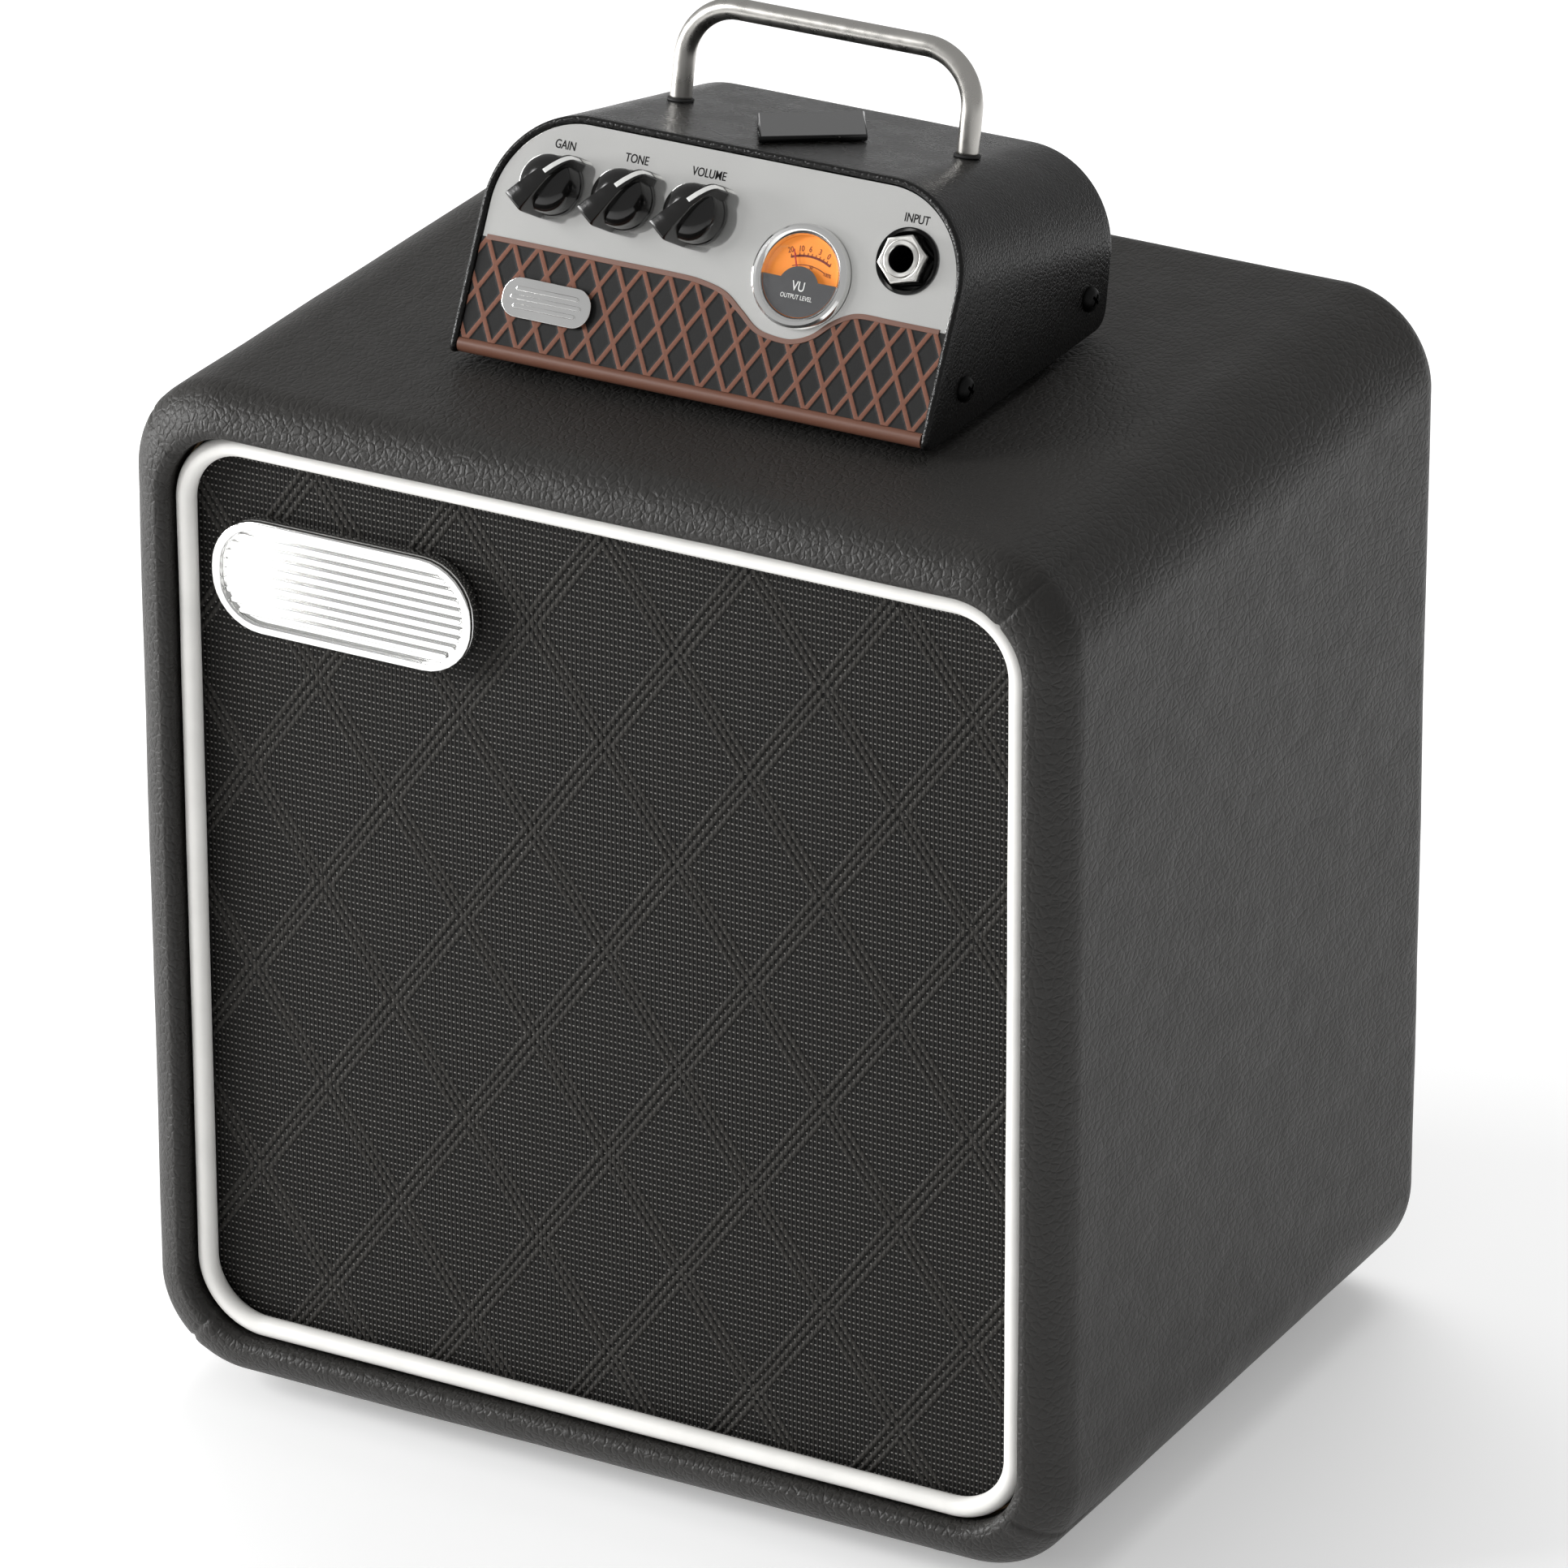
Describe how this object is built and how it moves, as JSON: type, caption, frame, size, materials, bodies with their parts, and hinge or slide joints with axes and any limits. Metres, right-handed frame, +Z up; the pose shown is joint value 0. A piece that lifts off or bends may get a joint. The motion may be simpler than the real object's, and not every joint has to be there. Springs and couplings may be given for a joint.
{
  "type": "guitar amplifier",
  "caption": "Small guitar amplifier: a slant-front head with knobs, a round level meter, an input socket and a tubular handle, standing on a matching vinyl-covered speaker cabinet.",
  "frame": {"origin": "middle of the cabinet's footprint, on the floor", "axes": "+Z up, the grille and the front panel face -Y, +X to the right as seen from the front"},
  "size_m": [0.262, 0.2076, 0.3586],
  "materials": {
    "covering": "grained vinyl",
    "board": "raw ply",
    "grille": "basket weave with diamond stitching",
    "piping": "satin",
    "badge": "ribbed",
    "basket": "satin",
    "magnet": "matte",
    "paper": "matte",
    "surround": "doped cloth",
    "coil": "enamelled wire",
    "rubber": "matte",
    "panel": "satin silver with a printed lattice",
    "tray": "satin black",
    "handle": "brushed",
    "black": "gloss",
    "bezel": "polished",
    "dial": "lit amber over grey",
    "needle": "satin",
    "lens": "clear",
    "nickel": "satin nickel",
    "screw": "black",
    "circuit": "green"
  },
  "bodies": {
    "cabinet": {"vinyl_covering": "covering", "top_board": "board", "bottom_board": "board", "left_board": "board", "right_board": "board", "baffle_board": "board", "grille_cloth": "grille", "grille_piping": "piping", "cabinet_badge": "badge", "upper_back_panel": "covering", "lower_back_panel": "covering", "jack_plate": "tray", "cabinet_jack": "black", "speaker_basket": "basket", "speaker_magnet": "magnet", "speaker_yoke": "basket", "speaker_surround": "surround", "speaker_spider": "surround", "speaker_terminals": "black", "speaker_lead": "rubber", "cabinet_foot_front_left": "rubber", "cabinet_foot_front_right": "rubber", "cabinet_foot_back_left": "rubber", "cabinet_foot_back_right": "rubber"},
    "cone": {"speaker_cone": "paper", "speaker_dust_cap": "paper", "speaker_voice_coil": "coil"},
    "head": {"head_shell": "covering", "front_panel": "panel", "base_tray": "tray", "rear_panel": "tray", "handle": "handle", "top_plate": "black", "control_board": "circuit", "main_board": "circuit", "meter_housing": "bezel", "meter_dial": "dial", "meter_lens": "lens", "input_jack": "black", "input_nut": "nickel", "speaker_out_jack": "nickel", "dc_inlet": "black", "head_foot_front_left": "rubber", "head_foot_front_right": "rubber", "head_foot_back_left": "rubber", "head_foot_back_right": "rubber", "side_screw_front_left": "screw", "side_screw_front_right": "screw", "side_screw_back_left": "screw", "side_screw_back_right": "screw"},
    "gain": {"gain_knob": "black", "gain_shaft": "nickel"},
    "tone": {"tone_knob": "black", "tone_shaft": "nickel"},
    "volume": {"volume_knob": "black", "volume_shaft": "nickel"},
    "needle": {"meter_needle": "needle"},
    "power_rocker": {"power_switch": "black"},
    "attenuator_lever": {"attenuator_switch": "black"}
  },
  "joints": [
    {"name": "head_lift", "type": "slide", "parent": "cabinet", "child": "head", "axis": [0, 0, 1], "range_m": [0, 0.12]},
    {"name": "cone_travel", "type": "slide", "parent": "cabinet", "child": "cone", "axis": [0, -1, 0], "range_m": [-0.003, 0.003], "stiffness_N_per_m": 1800},
    {"name": "gain_turn", "type": "hinge", "parent": "head", "child": "gain", "pos_m": [-0.0441, -0.03863, 0.32353], "axis": [0, 0.8856, -0.4645], "range_deg": [-180, 120]},
    {"name": "tone_turn", "type": "hinge", "parent": "head", "child": "tone", "pos_m": [-0.024, -0.03863, 0.32353], "axis": [0, 0.8856, -0.4645], "range_deg": [-180, 120]},
    {"name": "volume_turn", "type": "hinge", "parent": "head", "child": "volume", "pos_m": [-0.0038, -0.03863, 0.32353], "axis": [0, 0.8856, -0.4645], "range_deg": [-180, 120]},
    {"name": "needle_swing", "type": "hinge", "parent": "head", "child": "needle", "pos_m": [0.0272, -0.0443, 0.31272], "axis": [0, 0.8856, -0.4645], "range_deg": [0, 60], "stiffness_Nm_per_rad": 0.00002, "springref_deg": -17.19},
    {"name": "power_rock", "type": "hinge", "parent": "head", "child": "power_rocker", "pos_m": [-0.0406, 0.03546, 0.30409], "axis": [-1, 0, 0], "range_deg": [-16, 0]},
    {"name": "attenuator_slide", "type": "slide", "parent": "head", "child": "attenuator_lever", "axis": [1, 0, 0], "range_m": [0, 0.006]}
  ]
}
